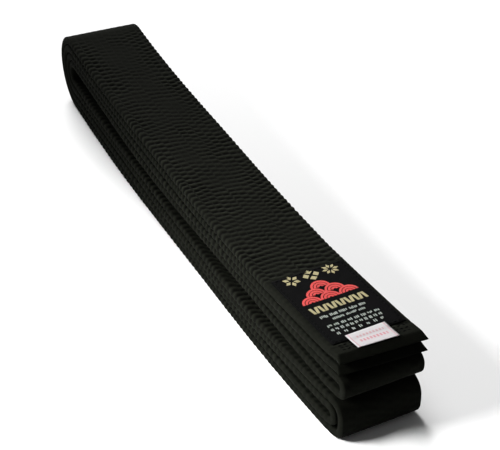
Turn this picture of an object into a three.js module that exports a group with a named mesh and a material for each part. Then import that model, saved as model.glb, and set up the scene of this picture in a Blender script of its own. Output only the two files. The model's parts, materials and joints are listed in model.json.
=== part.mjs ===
// A black cotton martial arts belt, folded flat in eight layers.
// Millimetres, +Z up. The pack lies along X: both belt ends are at +X, the four far folds at -X.
// The belt's centreline is one polyline in the XZ plane. Every sub-part is a stretch of it.

import * as THREE from 'three';

// Driving dimensions
const PACK_LENGTH = 332;
const BELT_WIDTH = 40;
const BELT_THICKNESS = 4.2;
const LAYER_GAP = 0.3;
const SIDEWAYS_BOW = 4.9;

// How far layers stand apart beyond the layer gap, and how much of the near end they splay over
const MIDDLE_X = -45;
const SPLAY_LENGTH = 80;
const CENTRE_OPENING_FAR = 7.4;
const CENTRE_OPENING_MIDDLE = 6.8;
const CENTRE_OPENING_SPLAY = 6.9;
const CENTRE_OPENING_NEAR = 0.9;
const LOBE_OPENING = 3.3;
const BUMP_OPENING = 3.1;
const PLAIN_TIP_OPENING = 0.8;
const LABEL_TIP_OPENING = 1.7;

// The cover's wall and the two canvas plies inside it
const COVER_WALL = 0.55;
const EDGE_WALL = 0.6;
const EDGE_CHAMFER_WIDTH = 1.4;
const EDGE_FLAT = 1.8;
const CAVITY_EDGE_FLAT = 1.3;
const CAVITY_CHAMFER_WIDTH = 1.1;
const PLY_EDGE_CLEARANCE = 1.3;
const PLY_FACE_CLEARANCE = 0.15;
const PLY_SPACING = 0.3;

// The pointed, stitched belt tips
const TIP_WEDGE_LENGTH = 5;
const TIP_EDGE_THICKNESS = 1.4;
const TIP_CAVITY_INSET = 6;
const TIP_CORE_INSET = 6.5;
const TIP_STITCH_ROWS = 3;
const TIP_STITCH_PITCH = 1.8;
const TIP_STITCH_INSET = 5.9;
const TIP_STITCH_SPAN = 34;
const THREAD_WIDTH = 0.5;
const THREAD_HEIGHT = 0.35;

// The woven label, its stitching and the paper size sticker
const LABEL_LENGTH = 54;
const LABEL_WIDTH = 36.6;
const LABEL_THICKNESS = 0.45;
const LABEL_INSET = 11.2;
const LABEL_SIDE_OFFSET = 0.2;
const LABEL_STITCH_MARGIN = 1;
const STICKER_LENGTH = 10.6;
const STICKER_WIDTH = 20;
const STICKER_THICKNESS = 0.2;
const STICKER_INSET = 3.5;
const STICKER_SIDE_OFFSET = -0.4;

// The hair's breadth between a sewn-on piece and the face it lies on
const SEAT_GAP = 0.04;

// Where the free ends bend when they are lifted, and how finely curves are divided
const BEND_LENGTH = 16;
const STATION_SPACING = 40;
const FAR_FOLD_STEPS = 10;
const NEAR_FOLD_STEPS = 8;

// Values that follow from the driving dimensions
const HALF_LENGTH = PACK_LENGTH / 2;
const HALF_WIDTH = BELT_WIDTH / 2;
const HALF_THICKNESS = BELT_THICKNESS / 2;
const PITCH = BELT_THICKNESS + LAYER_GAP;
const FAR_RADIUS = (7 * PITCH + CENTRE_OPENING_FAR) / 2;
const FAR_X = -HALF_LENGTH + FAR_RADIUS + HALF_THICKNESS;
const LOBE_RADIUS = (3 * PITCH + LOBE_OPENING) / 2;
const LOBE_X = HALF_LENGTH - LOBE_RADIUS - HALF_THICKNESS;
const BUMP_RADIUS = (PITCH + BUMP_OPENING) / 2;
const BUMP_X = HALF_LENGTH - BUMP_RADIUS - HALF_THICKNESS;
const LABEL_NEAR_X = HALF_LENGTH - LABEL_INSET;
const LABEL_FAR_X = LABEL_NEAR_X - LABEL_LENGTH;
const SPLAY_X = HALF_LENGTH - SPLAY_LENGTH;

const BLACK_COTTON = 0x17171a;
const CANVAS = 0xcfc6b2;
const BLACK_THREAD = 0x202024;
const LABEL_CLOTH = 0x101014;
const PAPER = 0xf2f0ec;
const CLOTH_ROUGHNESS = 0.95;

// A straight line through the two knots either side of x. It runs on beyond the last knots.
function along(knots, x) {
  let k = 1;
  while (k < knots.length - 1 && x > knots[k][0]) k += 1;
  const [x0, v0] = knots[k - 1];
  const [x1, v1] = knots[k];
  return v0 + ((v1 - v0) * (x - x0)) / (x1 - x0);
}

// Openings are zero up to where the layers start to splay, a little short of the label
function splay(x, knotX, value) {
  return x <= SPLAY_X ? 0 : (value * (x - SPLAY_X)) / (knotX - SPLAY_X);
}

function centreOpening(x) {
  return along([
    [FAR_X, CENTRE_OPENING_FAR],
    [MIDDLE_X, CENTRE_OPENING_MIDDLE],
    [SPLAY_X, CENTRE_OPENING_SPLAY],
    [HALF_LENGTH, CENTRE_OPENING_NEAR],
  ], x);
}

// The height of a layer's mid-plane. Layer 1 is the label end on top, layer 8 lies on the table.
function layerHeight(layer, x) {
  let z = HALF_THICKNESS + (8 - layer) * PITCH;
  if (layer <= 6) z += splay(x, LOBE_X, LOBE_OPENING);
  if (layer <= 4) z += centreOpening(x);
  if (layer <= 3) z += splay(x, BUMP_X, BUMP_OPENING);
  if (layer <= 2) z += splay(x, HALF_LENGTH, PLAIN_TIP_OPENING);
  if (layer <= 1) z += splay(x, HALF_LENGTH, LABEL_TIP_OPENING);
  return z;
}

// The pack isn't quite straight: its middle lies to the -Y side of its ends
function bowAt(x) {
  return SIDEWAYS_BOW * ((x / HALF_LENGTH) ** 2 - 0.5);
}

// Bends a point of the straight pack to follow the bow. Lines across the belt stay square to its length.
function bowed(x, across, z) {
  const turn = (2 * SIDEWAYS_BOW * x) / HALF_LENGTH ** 2;
  return [x - across * turn, across + bowAt(x), z];
}

// The X positions where a straight layer has a station, from the far folds to its near end
function layerStations(nearX) {
  const halfBends = [0, 1, 2, 3, 4].map((i) => FAR_X + (i * BEND_LENGTH) / 2);
  const beforeSplay = [-1, 0, 1, 2].map((i) => MIDDLE_X + i * STATION_SPACING);
  return [...halfBends, ...beforeSplay, SPLAY_X, SPLAY_X + STATION_SPACING, nearX];
}

// Builds the whole centreline, layer by layer, and remembers where each named stretch begins
function centreline() {
  const points = [];
  const marks = {};
  const mark = (name) => {
    marks[name] = points.length - 1;
  };
  const layer = (number, nearX, towardsNear) => {
    const xs = layerStations(nearX);
    if (!towardsNear) xs.reverse();
    for (const x of xs) {
      points.push([x, layerHeight(number, x)]);
    }
  };
  const fold = (x, from, to, steps, side) => {
    const centre = (from + to) / 2;
    const radius = (from - to) / 2;
    for (let i = 1; i < steps; i += 1) {
      const turn = (Math.PI * i) / steps;
      points.push([x + side * Math.abs(radius) * Math.sin(turn), centre + radius * Math.cos(turn)]);
    }
  };
  const farFold = (from, to) => fold(FAR_X, layerHeight(from, FAR_X), layerHeight(to, FAR_X), FAR_FOLD_STEPS, -1);
  const nearFold = (x, from, to) => fold(x, layerHeight(from, x), layerHeight(to, x), NEAR_FOLD_STEPS, 1);

  points.push([HALF_LENGTH, layerHeight(1, HALF_LENGTH)]);
  mark('labelTip');
  layer(1, HALF_LENGTH - TIP_WEDGE_LENGTH, false);
  mark('far1');
  farFold(1, 8);
  layer(8, LOBE_X, true);
  mark('near8');
  nearFold(LOBE_X, 8, 5);
  layer(5, LOBE_X, false);
  mark('far5');
  farFold(5, 4);
  layer(4, BUMP_X, true);
  mark('near4');
  nearFold(BUMP_X, 4, 3);
  layer(3, BUMP_X, false);
  mark('far3');
  farFold(3, 6);
  layer(6, LOBE_X, true);
  mark('near6');
  nearFold(LOBE_X, 6, 7);
  layer(7, LOBE_X, false);
  mark('far7');
  farFold(7, 2);
  layer(2, HALF_LENGTH - TIP_WEDGE_LENGTH, true);
  points.push([HALF_LENGTH, layerHeight(2, HALF_LENGTH)]);
  mark('plainTip');
  marks.far8 = marks.far1 + FAR_FOLD_STEPS;
  marks.near5 = marks.near8 + NEAR_FOLD_STEPS;
  marks.far4 = marks.far5 + FAR_FOLD_STEPS;
  marks.near3 = marks.near4 + NEAR_FOLD_STEPS;
  marks.far6 = marks.far3 + FAR_FOLD_STEPS;
  marks.near7 = marks.near6 + NEAR_FOLD_STEPS;
  marks.far2 = marks.far7 + FAR_FOLD_STEPS;
  marks.bend1 = marks.far1 - 2;
  marks.lift1 = marks.far1 - 4;
  marks.lift2 = marks.far2 + 2;
  return { points, marks };
}

// Gives each centreline point its mitred normal, so that all walls keep their thickness in the folds
function stationsOf(points) {
  const directions = [];
  for (let i = 0; i + 1 < points.length; i += 1) {
    const dx = points[i + 1][0] - points[i][0];
    const dz = points[i + 1][1] - points[i][1];
    const length = Math.hypot(dx, dz);
    directions.push([dx / length, dz / length]);
  }
  return points.map(([x, z], i) => {
    const before = directions[Math.max(i - 1, 0)];
    const after = directions[Math.min(i, directions.length - 1)];
    const sum = [-(before[1] + after[1]), before[0] + after[0]];
    const mitre = 2 / (sum[0] ** 2 + sum[1] ** 2);
    return { x, z, nx: sum[0] * mitre, nz: sum[1] * mitre };
  });
}

// A point at a height above the mid-plane and across the width, with the pack's bow added
function place(station, across, above) {
  return bowed(station.x + station.nx * above, across, station.z + station.nz * above);
}

// A flat octagon: the belt's section with its edges eased
function easedSection(halfWidth, halfHeight, easeWidth, edgeFlat) {
  const w = halfWidth - easeWidth;
  const e = edgeFlat / 2;
  return [
    [-w, -halfHeight], [w, -halfHeight], [halfWidth, -e], [halfWidth, e],
    [w, halfHeight], [-w, halfHeight], [-halfWidth, e], [-halfWidth, -e],
  ];
}

// A mesh from corner points and triangles, turned outward if its volume comes out negative
function solid(name, colour, points, triangles) {
  let volume = 0;
  for (const [a, b, c] of triangles) {
    const [ax, ay, az] = points[a];
    const [bx, by, bz] = points[b];
    const [cx, cy, cz] = points[c];
    volume += ax * (by * cz - bz * cy) + ay * (bz * cx - bx * cz) + az * (bx * cy - by * cx);
  }
  const faces = volume < 0 ? triangles.map(flipped) : triangles;
  const geometry = new THREE.BufferGeometry();
  geometry.setAttribute('position', new THREE.Float32BufferAttribute(points.flat(), 3));
  geometry.setIndex(faces.flat());
  geometry.computeVertexNormals();
  const material = new THREE.MeshStandardMaterial({ color: colour, roughness: CLOTH_ROUGHNESS, metalness: 0 });
  const mesh = new THREE.Mesh(geometry, material);
  mesh.name = name;
  return mesh;
}

// Adds one ring of points per station and the faces between neighbouring rings
function addSkin(points, triangles, rings, inward) {
  const first = points.length;
  const size = rings[0].length;
  for (const ring of rings) points.push(...ring);
  for (let i = 0; i + 1 < rings.length; i += 1) {
    for (let k = 0; k < size; k += 1) {
      const a = first + i * size + k;
      const b = first + i * size + ((k + 1) % size);
      const quad = [[a, b, b + size], [a, b + size, a + size]];
      triangles.push(...(inward ? quad.map(flipped) : quad));
    }
  }
  return first;
}

function flipped([a, b, c]) {
  return [a, c, b];
}

function addCap(triangles, first, size, atEnd) {
  for (let k = 1; k + 1 < size; k += 1) {
    const face = [first, first + k + 1, first + k];
    triangles.push(atEnd ? flipped(face) : face);
  }
}

// The narrow ring of cloth where a sleeve is cut open
function addOpenEnd(triangles, outer, cavity, size, atEnd) {
  for (let k = 0; k < size; k += 1) {
    const next = (k + 1) % size;
    const quad = [
      [outer + next, outer + k, cavity + k],
      [outer + next, cavity + k, cavity + next],
    ];
    triangles.push(...(atEnd ? quad.map(flipped) : quad));
  }
}

// A station moved towards the next one
function between(a, b, distance) {
  const t = distance / Math.hypot(b.x - a.x, b.z - a.z);
  return { x: a.x + (b.x - a.x) * t, z: a.z + (b.z - a.z) * t, nx: b.nx, nz: b.nz };
}

const outerSection = easedSection(HALF_WIDTH, HALF_THICKNESS, EDGE_CHAMFER_WIDTH, EDGE_FLAT);
const tipSection = outerSection.map(([y, h]) => [y, (h * TIP_EDGE_THICKNESS) / BELT_THICKNESS]);
const cavitySection = easedSection(
  HALF_WIDTH - EDGE_WALL, HALF_THICKNESS - COVER_WALL, CAVITY_CHAMFER_WIDTH, CAVITY_EDGE_FLAT,
);

function ringsOf(stations, section) {
  return stations.map((s) => section.map(([y, h]) => place(s, y, h)));
}

// A stretch of the cloth cover: a flat tube, open at both ends
function coverSleeve(name, stations) {
  const points = [];
  const triangles = [];
  const size = outerSection.length;
  const last = (stations.length - 1) * size;
  const outer = addSkin(points, triangles, ringsOf(stations, outerSection), false);
  const cavity = addSkin(points, triangles, ringsOf(stations, cavitySection), true);
  addOpenEnd(triangles, outer, cavity, size, false);
  addOpenEnd(triangles, outer + last, cavity + last, size, true);
  return solid(name, BLACK_COTTON, points, triangles);
}

// An end of the cover: its tip narrows to a stitched edge, and the other end is open.
// The stations start at the tip.
function coverTip(name, stations) {
  const points = [];
  const triangles = [];
  const size = outerSection.length;
  const [tip, wedgeEnd, next] = stations;
  const blind = between(wedgeEnd, next, TIP_CAVITY_INSET - TIP_WEDGE_LENGTH);
  const hollow = [blind, ...stations.slice(2)];
  const skin = [...ringsOf([tip], tipSection), ...ringsOf(stations.slice(1), outerSection)];
  const outer = addSkin(points, triangles, skin, false);
  const cavity = addSkin(points, triangles, ringsOf(hollow, cavitySection), true);
  addCap(triangles, outer, size, false);
  addCap(triangles, cavity, size, true);
  const lastOuter = outer + (stations.length - 1) * size;
  const lastCavity = cavity + (hollow.length - 1) * size;
  addOpenEnd(triangles, lastOuter, lastCavity, size, true);
  return solid(name, BLACK_COTTON, points, triangles);
}

// One canvas ply of the core. Side 1 is above the mid-plane's normal, side -1 is below it.
function corePly(name, stations, side) {
  const inner = PLY_SPACING / 2;
  const outer = HALF_THICKNESS - COVER_WALL - PLY_FACE_CLEARANCE;
  const half = HALF_WIDTH - EDGE_WALL - PLY_EDGE_CLEARANCE;
  const section = [[-half, side * inner], [half, side * inner], [half, side * outer], [-half, side * outer]];
  const points = [];
  const triangles = [];
  const size = section.length;
  const first = addSkin(points, triangles, ringsOf(stations, section), false);
  addCap(triangles, first, size, false);
  addCap(triangles, first + (stations.length - 1) * size, size, true);
  return solid(name, CANVAS, points, triangles);
}

// The height of the top face of layer 1 or 2 near its tip
function topFace(layer, x) {
  const slope = (layerHeight(layer, LABEL_NEAR_X) - layerHeight(layer, SPLAY_X)) / (LABEL_NEAR_X - SPLAY_X);
  return layerHeight(layer, x) + HALF_THICKNESS * Math.hypot(1, slope);
}

function area(loop) {
  return THREE.ShapeUtils.area(loop.map(([x, y]) => ({ x, y })));
}

// An outline turned anticlockwise, or a hole's edge turned clockwise
function wound(loop, anticlockwise) {
  return area(loop) > 0 === anticlockwise ? loop : [...loop].reverse();
}

// A flat piece lying on the top face of a belt end: an outline in X and Y with a thickness
function patch(name, colour, layer, outline, holes, lower, upper) {
  const loops = [outline, ...holes].map((loop, i) => wound(loop, i === 0));
  const vectors = loops.map((loop) => loop.map(([x, y]) => new THREE.Vector2(x, y)));
  const flat = loops.flat();
  const faces = THREE.ShapeUtils.triangulateShape(vectors[0], vectors.slice(1)).map(
    (face) => (area(face.map((i) => flat[i])) < 0 ? flipped(face) : face),
  );
  const level = (height) => flat.map(([x, y]) => bowed(x, y, topFace(layer, x) + height));
  const points = [...level(upper), ...level(lower)];
  const count = flat.length;
  const triangles = faces.flatMap(([a, b, c]) => [[a, b, c], [a + count, c + count, b + count]]);
  let first = 0;
  for (const loop of loops) {
    for (let k = 0; k < loop.length; k += 1) {
      const a = first + k;
      const b = first + ((k + 1) % loop.length);
      triangles.push([a, a + count, b + count], [a, b + count, b]);
    }
    first += loop.length;
  }
  return solid(name, colour, points, triangles);
}

// A rectangle whose long sides are divided, so that it follows the pack's bow
function rectangle(x0, x1, y0, y1, steps) {
  const xs = Array.from({ length: steps + 1 }, (_, i) => x0 + ((x1 - x0) * i) / steps);
  return [...xs.map((x) => [x, y0]), ...xs.reverse().map((x) => [x, y1])];
}

// The outline of a ribbon of a given width along a path in X and Y
function ribbon(path, width) {
  const stations = stationsOf(path);
  const side = (sign) => stations.map((s) => [s.x + (sign * s.nx * width) / 2, s.z + (sign * s.nz * width) / 2]);
  return [...side(1), ...side(-1).reverse()];
}

// One thread that runs back and forth across a belt end, just behind its tip
function tipStitching(name, layer) {
  const path = [];
  for (let row = 0; row < TIP_STITCH_ROWS; row += 1) {
    const x = HALF_LENGTH - TIP_STITCH_INSET - row * TIP_STITCH_PITCH;
    const end = (row % 2 === 0 ? 1 : -1) * (TIP_STITCH_SPAN / 2);
    path.push([x, -end], [x, end]);
  }
  return patch(name, BLACK_THREAD, layer, ribbon(path, THREAD_WIDTH), [], SEAT_GAP, SEAT_GAP + THREAD_HEIGHT);
}

const LABEL_Y0 = LABEL_SIDE_OFFSET - LABEL_WIDTH / 2;
const LABEL_Y1 = LABEL_SIDE_OFFSET + LABEL_WIDTH / 2;
const LABEL_STEPS = 4;

function wovenLabel() {
  const outline = rectangle(LABEL_FAR_X, LABEL_NEAR_X, LABEL_Y0, LABEL_Y1, LABEL_STEPS);
  return patch('woven_label', LABEL_CLOTH, 1, outline, [], SEAT_GAP, SEAT_GAP + LABEL_THICKNESS);
}

// The seam that holds the label on: one closed ring of thread on top of it
function labelStitching() {
  const ring = (inset) => rectangle(
    LABEL_FAR_X + inset, LABEL_NEAR_X - inset, LABEL_Y0 + inset, LABEL_Y1 - inset, LABEL_STEPS,
  );
  const outline = ring(LABEL_STITCH_MARGIN);
  const hole = ring(LABEL_STITCH_MARGIN + THREAD_WIDTH);
  const seat = 2 * SEAT_GAP + LABEL_THICKNESS;
  return patch('label_stitching', BLACK_THREAD, 1, outline, [hole], seat, seat + THREAD_HEIGHT);
}

// The paper sticker is stuck on the label's near hem and reaches over the tip stitching
function sizeSticker() {
  const nearX = HALF_LENGTH - STICKER_INSET - SEAT_GAP;
  const y0 = STICKER_SIDE_OFFSET - STICKER_WIDTH / 2;
  const outline = rectangle(nearX - STICKER_LENGTH, nearX, y0, y0 + STICKER_WIDTH, 1);
  const seat = 3 * SEAT_GAP + LABEL_THICKNESS + THREAD_HEIGHT;
  return patch('size_sticker', PAPER, 1, outline, [], seat, seat + STICKER_THICKNESS);
}

// Every stretch of the belt: its name, and where it begins and ends on the centreline
const COVER_STRETCHES = [
  ['cover_label_bend_b', 'lift1', 'bend1'],
  ['cover_label_bend_a', 'bend1', 'far1'],
  ['cover_far_fold_1_8', 'far1', 'far8'],
  ['cover_layer_8', 'far8', 'near8'],
  ['cover_near_fold_outer', 'near8', 'near5'],
  ['cover_layer_5', 'near5', 'far5'],
  ['cover_far_fold_4_5', 'far5', 'far4'],
  ['cover_layer_4', 'far4', 'near4'],
  ['cover_near_fold_middle', 'near4', 'near3'],
  ['cover_layer_3', 'near3', 'far3'],
  ['cover_far_fold_3_6', 'far3', 'far6'],
  ['cover_layer_6', 'far6', 'near6'],
  ['cover_near_fold_inner', 'near6', 'near7'],
  ['cover_layer_7', 'near7', 'far7'],
  ['cover_far_fold_2_7', 'far7', 'far2'],
  ['cover_plain_bend', 'far2', 'lift2'],
];
const CORE_STRETCHES = [
  ['core_label_bend_b', 'lift1', 'bend1'],
  ['core_label_bend_a', 'bend1', 'far1'],
  ['core_far_fold_1_8', 'far1', 'far8'],
  ['core_lower_outer', 'far8', 'far5'],
  ['core_far_fold_4_5', 'far5', 'far4'],
  ['core_middle', 'far4', 'far3'],
  ['core_far_fold_3_6', 'far3', 'far6'],
  ['core_lower_inner', 'far6', 'far7'],
  ['core_far_fold_2_7', 'far7', 'far2'],
  ['core_plain_bend', 'far2', 'lift2'],
];
const PLY_SIDES = [['ply_a', 1], ['ply_b', -1]];

function belt() {
  const { points, marks } = centreline();
  const stations = stationsOf(points);
  const stretch = (from, to) => stations.slice(marks[from], marks[to] + 1);
  const labelEnd = stretch('labelTip', 'lift1');
  const plainEnd = stretch('lift2', 'plainTip').reverse();
  const coreEnd = ([, wedgeEnd, next, ...rest]) => [
    between(wedgeEnd, next, TIP_CORE_INSET - TIP_WEDGE_LENGTH), next, ...rest,
  ];
  const group = new THREE.Group();
  group.name = 'martial_arts_belt';
  group.add(coverTip('cover_label_end', labelEnd));
  group.add(coverTip('cover_plain_end', plainEnd));
  for (const [name, from, to] of COVER_STRETCHES) group.add(coverSleeve(name, stretch(from, to)));
  for (const [ply, side] of PLY_SIDES) {
    group.add(corePly(`core_label_end_${ply}`, coreEnd(labelEnd), side));
    group.add(corePly(`core_plain_end_${ply}`, coreEnd(plainEnd), side));
    for (const [name, from, to] of CORE_STRETCHES) group.add(corePly(`${name}_${ply}`, stretch(from, to), side));
  }
  group.add(tipStitching('label_end_stitching', 1));
  group.add(tipStitching('plain_end_stitching', 2));
  group.add(wovenLabel(), labelStitching(), sizeSticker());
  return group;
}

export default belt();
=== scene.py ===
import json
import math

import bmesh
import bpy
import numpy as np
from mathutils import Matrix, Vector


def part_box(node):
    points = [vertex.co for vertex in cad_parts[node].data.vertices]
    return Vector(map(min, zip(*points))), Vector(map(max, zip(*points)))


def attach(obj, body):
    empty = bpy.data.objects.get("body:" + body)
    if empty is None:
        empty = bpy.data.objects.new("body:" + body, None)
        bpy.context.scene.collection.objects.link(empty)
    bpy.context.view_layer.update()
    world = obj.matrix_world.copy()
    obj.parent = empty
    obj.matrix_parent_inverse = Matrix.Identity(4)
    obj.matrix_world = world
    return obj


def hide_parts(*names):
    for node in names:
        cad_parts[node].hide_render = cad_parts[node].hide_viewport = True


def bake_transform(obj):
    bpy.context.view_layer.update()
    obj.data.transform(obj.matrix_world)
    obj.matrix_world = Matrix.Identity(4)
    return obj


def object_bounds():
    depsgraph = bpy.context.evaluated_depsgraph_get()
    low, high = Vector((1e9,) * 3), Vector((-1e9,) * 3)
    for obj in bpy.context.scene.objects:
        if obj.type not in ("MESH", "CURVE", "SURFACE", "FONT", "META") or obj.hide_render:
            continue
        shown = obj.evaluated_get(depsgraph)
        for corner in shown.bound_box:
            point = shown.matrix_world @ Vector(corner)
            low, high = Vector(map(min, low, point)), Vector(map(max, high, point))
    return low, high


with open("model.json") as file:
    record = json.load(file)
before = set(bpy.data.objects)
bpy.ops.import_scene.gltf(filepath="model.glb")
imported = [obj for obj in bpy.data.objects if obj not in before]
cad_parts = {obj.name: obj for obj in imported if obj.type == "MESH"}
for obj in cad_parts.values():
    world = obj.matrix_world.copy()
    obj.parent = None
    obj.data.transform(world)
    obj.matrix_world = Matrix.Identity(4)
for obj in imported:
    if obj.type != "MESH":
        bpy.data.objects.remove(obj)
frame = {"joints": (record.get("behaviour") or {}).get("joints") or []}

# A black cotton martial arts belt, folded flat in eight layers. Metres, +Z up.
# The belt is one long strip. Its surface is worked out in the strip's own flat coordinates, which are the
# distance along it from the label tip, the distance across it and the height above its mid-plane. It is then
# laid along the folded centreline. Each piece of the belt is a stretch of that one surface, so that
# neighbouring pieces meet without a seam.

CAD_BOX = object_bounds()
MM = 0.001
TURN = 2 * math.pi

# The folded pack, with the sizes of the solid parts
PACK_LENGTH = 332 * MM
BELT_THICKNESS = 4.2 * MM
LAYER_GAP = 0.3 * MM
SIDEWAYS_BOW = 4.9 * MM
MIDDLE_X = -45 * MM
SPLAY_X = 86 * MM
CENTRE_OPENINGS = (7.4 * MM, 6.8 * MM, 6.9 * MM, 0.9 * MM)
LOBE_OPENING = 3.3 * MM
BUMP_OPENING = 3.1 * MM
PLAIN_TIP_OPENING = 0.8 * MM
LABEL_TIP_OPENING = 1.7 * MM

# How square the lower and upper corners of the near folds are. A circle has 2.
ROUND_FOLD = (2, 2)
LOBE_SQUARENESS = (3.8, 2.4)
BUMP_SQUARENESS = (2.6, 2.2)
FOLD_STEPS = 60

# The two tips are pressed to a wedge, which droops and spreads
TIP_WEDGE = 3.4 * MM
TIP_EDGE = 0.5 * MM
TIP_SPREAD = 0.03
TIP_DROOP = 0.9 * MM
TIP_LEAST = 0.02
TIP_RINGS = (0, 0.1 * MM, 0.25 * MM)

# The near end isn't quite square
NEAR_END_RUN = 16 * MM
NEAR_END_SHIFT = 0.7 * MM
NEAR_FOLD_REACH = 1.5 * MM
NEAR_FOLD_SKEW = 0.02
FREE_END_SKEW = 0.09
FREE_END_LENGTH = 50 * MM

# The layers wander sideways, in waves with a length, a share and a start. The two belt ends lie true.
WANDER = 0.5 * MM
WANDER_WAVES = ((410 * MM, 1, 0), (173 * MM, 0.6, 1.1))
TRUE_LENGTH = 120 * MM
TRUE_FADE = 80 * MM

# The quilting: rows of stitches along the belt, and the ribs of cloth that they raise
CLOTH_WIDTH = 41.4 * MM
ROW_SPACING = CLOTH_WIDTH / 11
OUTER_ROW = 4.5 * ROW_SPACING
STITCH_PITCH = 3.72 * MM
STITCH_PITCH_SWING = 0.35 * MM
# The quilting thread: its width, how far from the mid-plane it begins to show, and its share of each stitch
QUILTING_WIDTH, QUILTING_LEVEL, QUILTING_DASH = 0.72 * MM, 1.2 * MM, 0.8
RIB_SLANT = 0.2
RIB_HEIGHT = 0.68 * MM
RIB_BASE = 0.75
RIB_ROUNDING = 0.8
# The crest share of calm cloth, which sets its tone between the painted valley shade and the painted crest
# light
CREST_REST = 0.45
ROW_DEPTH = 0.08 * MM
ROW_GROOVE = 0.5 * MM
ROW_MEETING = (0.36, 0.64)
# How much of a rib's height is left at a line of stitches, in the margins and round the edge
LINE_SHARE = 0.3
MARGIN_SHARE = 0.6
EDGE_SHARE = 0.55
# The rows, with two to spare at each edge, and how their ribs run ahead: wave lengths, and heights in ribs
ROW_BANDS = 15
ROW_SWAYS = ((83 * MM, 0.22), (31 * MM, 0.12))
PUCKER_SEED = 11

# How lively the ribs are: in the middle, more at the edges, and in patches with a length and a tilt
LIVELY_MIDDLE = 0.72
LIVELY_EDGE = 0.28
LIVELY_EDGE_BAND = (0.25, 0.8)
LIVELY_PATCH = 0.13
PATCH_WAVES = ((61 * MM, 90), (33 * MM, -160), (117 * MM, 240), (21 * MM, 310))
LIVELY_RANGE = (0.15, 1.3)
# Where they are calm: how much is lost, and the two places between which that comes on. A fold's places are
# measured from where it begins.
FAR_FOLD_CALM, FAR_FOLD_FADE = 0.93, (9 * MM, -2 * MM)
NEAR_FOLD_CALM, NEAR_FOLD_FADE = 0.8, (-2 * MM, 5 * MM)
SIDE_CALM, SIDE_FADE, SIDE_BAND = 0.6, (60 * MM, 150 * MM), (0.86, 0.97)
TOP_CALM, TOP_FADE = 0.35, (20 * MM, -90 * MM)
LABEL_CALM, LABEL_FADE = 0.75, 1 * MM
TIP_CALM, TIP_FADE = 0.6, (12 * MM, 7 * MM)

# The belt's section: flat faces between rounded edges
EDGE_ROUND = 1.1 * MM
FACE_HALF = CLOTH_WIDTH / 2 - EDGE_ROUND
EDGE_STEPS = 8
FACE_CROWN = 0.03
FINE_FACE, COARSE_FACE = 6, 3

# The steps of the mesh along the belt
PATH_STEP = 1 * MM
FINE_STEP = 0.5 * MM
COARSE_STEP = 0.8 * MM
CORE_STEP = 3 * MM

# The canvas core
CORE_HALF = 18.1 * MM
CORE_TOP = 1.4 * MM
CORE_SPACING = 0.15 * MM
CORE_INSET = 6.5 * MM

# The woven label, the sticker and the stitches
LABEL_FAR, LABEL_NEAR = 100.8 * MM, 154.8 * MM
LABEL_HALF_WIDTH = 18.3 * MM
LABEL_SHIFT = 0.2 * MM
LABEL_LIFT = 0.04 * MM
LABEL_THICKNESS = 0.45 * MM
LABEL_STEP = 0.6 * MM
LABEL_HEM = 0.4 * MM
LABEL_HEM_SHARE = 0.55
LABEL_SEAM_INSET = 1.2 * MM
LABEL_SEAM_DEPTH = 0.1 * MM
LABEL_SEAM_REACH = 0.5 * MM
LABEL_SWELL = 0.05 * MM
LABEL_SWELL_WAVES = (4.1 * MM, 3.3 * MM)
LABEL_SWELL_FADE = (1.5 * MM, 4 * MM)
LABEL_STITCH = 2.5 * MM
MARK_HEIGHT, MARK_DEPTH = 0.12 * MM, 0.05 * MM

# The label's marks: gold flowers, a red wave crest, a gold braid and rows of white strokes
FLOWER_X = 105 * MM
FLOWER_RADIUS = 4.2 * MM
FLOWERS = ((10.2 * MM, 8), (0.2 * MM, 4), (-9.8 * MM, 6))
PETAL_FOOT, PETAL_WAIST, PETAL_WIDTH = 0.22, 0.62, 0.44
CREST_X, CREST_Y = 124.2 * MM, -0.5 * MM
CREST_ROWS = (3, 2, 1)
CREST_PITCH = 9.4 * MM
CREST_STEP = 4.6 * MM
CREST_RINGS = (4.7 * MM, 3.2 * MM, 1.7 * MM)
CREST_BAND = 1.1 * MM
ARCH_STEPS = 14
BRAID_X = 129.7 * MM
BRAID_COUNT = 13
BRAID_PITCH = 2.2 * MM
BRAID_WIDTH = 1.3 * MM
BRAID_HEIGHT = 4.6 * MM
BRAID_LEAN = 0.35 * MM
# Each row in millimetres: its X, its two ends, its height, the strokes in a group and the gap between groups
STROKE_ROWS = (
    (135.4, -12.5, 10.5, 1.9, 5, 0.9),
    (138.5, -8.0, 8.5, 1.6, 7, 0.8),
    (142.5, -13.0, 13.0, 1.9, 3, 0.9),
    (145.6, -13.0, 12.5, 1.9, 2, 0.8),
    (148.8, -12.0, 12.5, 1.9, 2, 2.0),
)
STROKE_WIDTH = 0.45 * MM
STROKE_SHORTEST = 0.55
STROKE_PITCHES = (0.7, 0.95)
STROKE_SEED = 5

# The size sticker, which lies on the label's near hem and comes down over the seams
STICKER_FAR, STICKER_NEAR = 151.9 * MM, 162.5 * MM
STICKER_HALF_WIDTH = 10 * MM
STICKER_SHIFT = -0.4 * MM
STICKER_THICKNESS = 0.16 * MM
STICKER_LOW = 0.50 * MM
STICKER_RISE = 0.22 * MM
STICKER_FALL = (1.8 * MM, -0.2 * MM)
STICKER_STEPS = (0.5 * MM, 0.8 * MM)

# The seams across the tips, and the thread. A stitch rises out of the cloth and dips back at its thin ends.
TIP_SEAM_FIRST = 5.9 * MM
TIP_SEAM_PITCH = 1.8 * MM
TIP_SEAM_ROWS = 3
TIP_SEAM_HALF = 17 * MM
TIP_STITCH = 2.4 * MM
THREAD_RADIUS = 0.24 * MM
THREAD_SIDES, THREAD_STEPS = 6, 6
THREAD_END = 0.35
STITCH_SHARE = 0.88
STITCH_RISE, STITCH_DIP = 1.6, 1.2

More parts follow.
